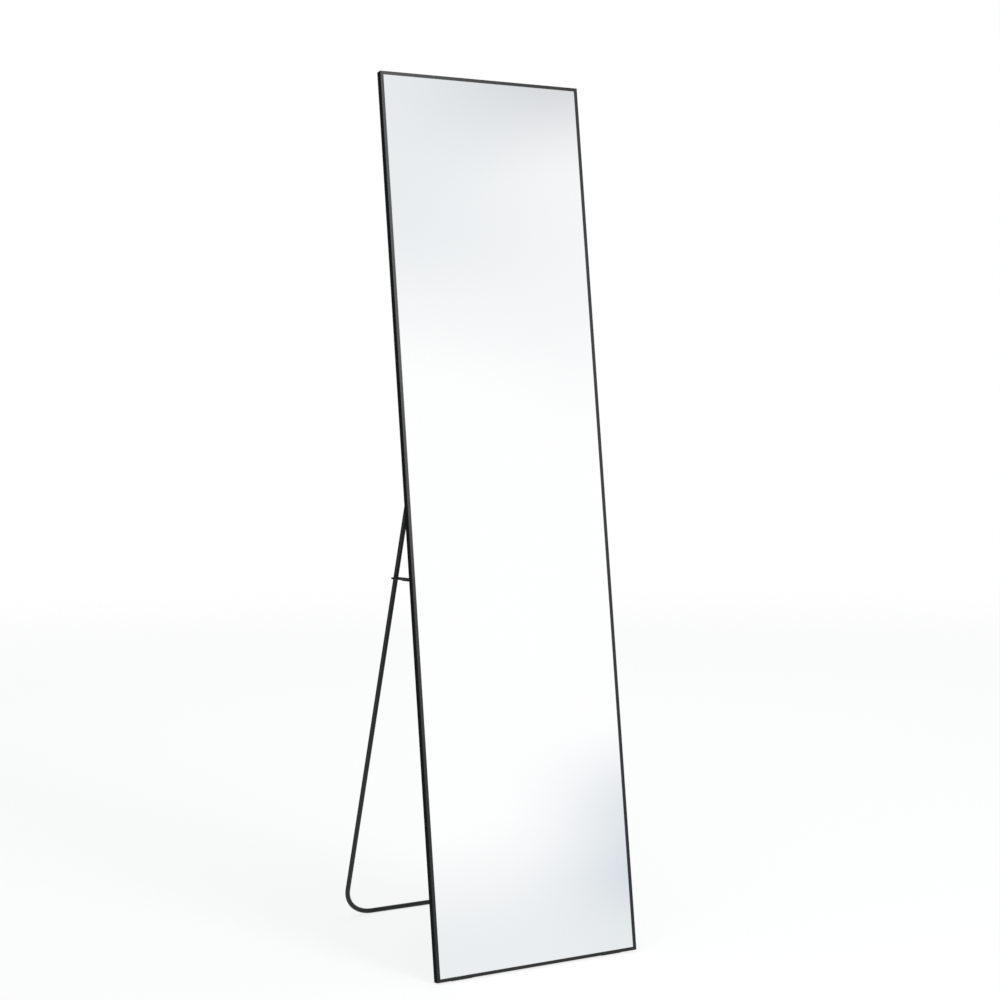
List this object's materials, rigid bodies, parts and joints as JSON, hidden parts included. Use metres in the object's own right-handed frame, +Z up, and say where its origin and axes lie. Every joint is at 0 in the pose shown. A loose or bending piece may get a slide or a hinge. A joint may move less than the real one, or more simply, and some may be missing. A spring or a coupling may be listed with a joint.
{
  "type": "leaning floor mirror",
  "caption": "Tall narrow floor mirror in a thin black metal frame, leaning back on a folding U-shaped rod stand held open by wire stays.",
  "frame": {"origin": "on the floor, in the middle of the footprint", "axes": "+X to the viewer's right along the mirror's width, +Y to the back where the stand is, +Z up"},
  "size_m": [0.4, 0.4915, 1.5884],
  "materials": {
    "frame_aluminium": "satin black anodised aluminium",
    "mirror_glass": "clear silvered float glass",
    "backing_board": "black faced fibreboard",
    "foam_tape": "closed-cell foam",
    "zinc_steel": "zinc plated",
    "black_fasteners": "black zinc",
    "bracket_steel": "black powder coat",
    "stand_steel": "black powder coat",
    "stay_wire": "black powder coat",
    "pad_rubber": "matt rubber"
  },
  "bodies": {
    "mirror": {"backing_board": "backing_board", "corner_key_bottom_left": "zinc_steel", "corner_key_bottom_right": "zinc_steel", "corner_key_top_left": "zinc_steel", "corner_key_top_right": "zinc_steel", "corner_screws": "black_fasteners", "cushion_tapes": "foam_tape", "hinge_bracket_left": "bracket_steel", "hinge_bracket_right": "bracket_steel", "hinge_screws_left": "black_fasteners", "hinge_screws_right": "black_fasteners", "mirror_glass": "mirror_glass", "rail_bottom": "frame_aluminium", "rail_top": "frame_aluminium", "spring_clips": "zinc_steel", "stay_bracket_left": "bracket_steel", "stay_bracket_right": "bracket_steel", "stay_screws_left": "black_fasteners", "stay_screws_right": "black_fasteners", "stile_left": "frame_aluminium", "stile_right": "frame_aluminium", "wedge_pad_left": "pad_rubber", "wedge_pad_right": "pad_rubber"},
    "stand": {"stand_rod": "stand_steel", "stop_pin_left": "black_fasteners", "stop_pin_right": "black_fasteners", "push_ring_left": "black_fasteners", "push_ring_right": "black_fasteners"},
    "stay_left": {"stay_left": "stay_wire"},
    "stay_right": {"stay_right": "stay_wire"}
  },
  "joints": [
    {"name": "stand_fold", "type": "hinge", "parent": "mirror", "child": "stand", "pos_m": [0, -0.10357, 0.90899], "axis": [-1, 0, 0], "range_deg": [0, 28.57]},
    {"name": "stay_left_swing", "type": "hinge", "parent": "mirror", "child": "stay_left", "pos_m": [-0.171, -0.13359, 0.68701], "axis": [-1, 0, 0], "range_deg": [0, 92.49]},
    {"name": "stay_right_swing", "type": "hinge", "parent": "mirror", "child": "stay_right", "pos_m": [0.171, -0.13359, 0.68701], "axis": [-1, 0, 0], "range_deg": [0, 92.49]}
  ],
  "couplings": [
    {"joint": "stay_left_swing", "follows": "stand_fold", "ratio": 3.2368},
    {"joint": "stay_right_swing", "follows": "stand_fold", "ratio": 3.2368}
  ]
}
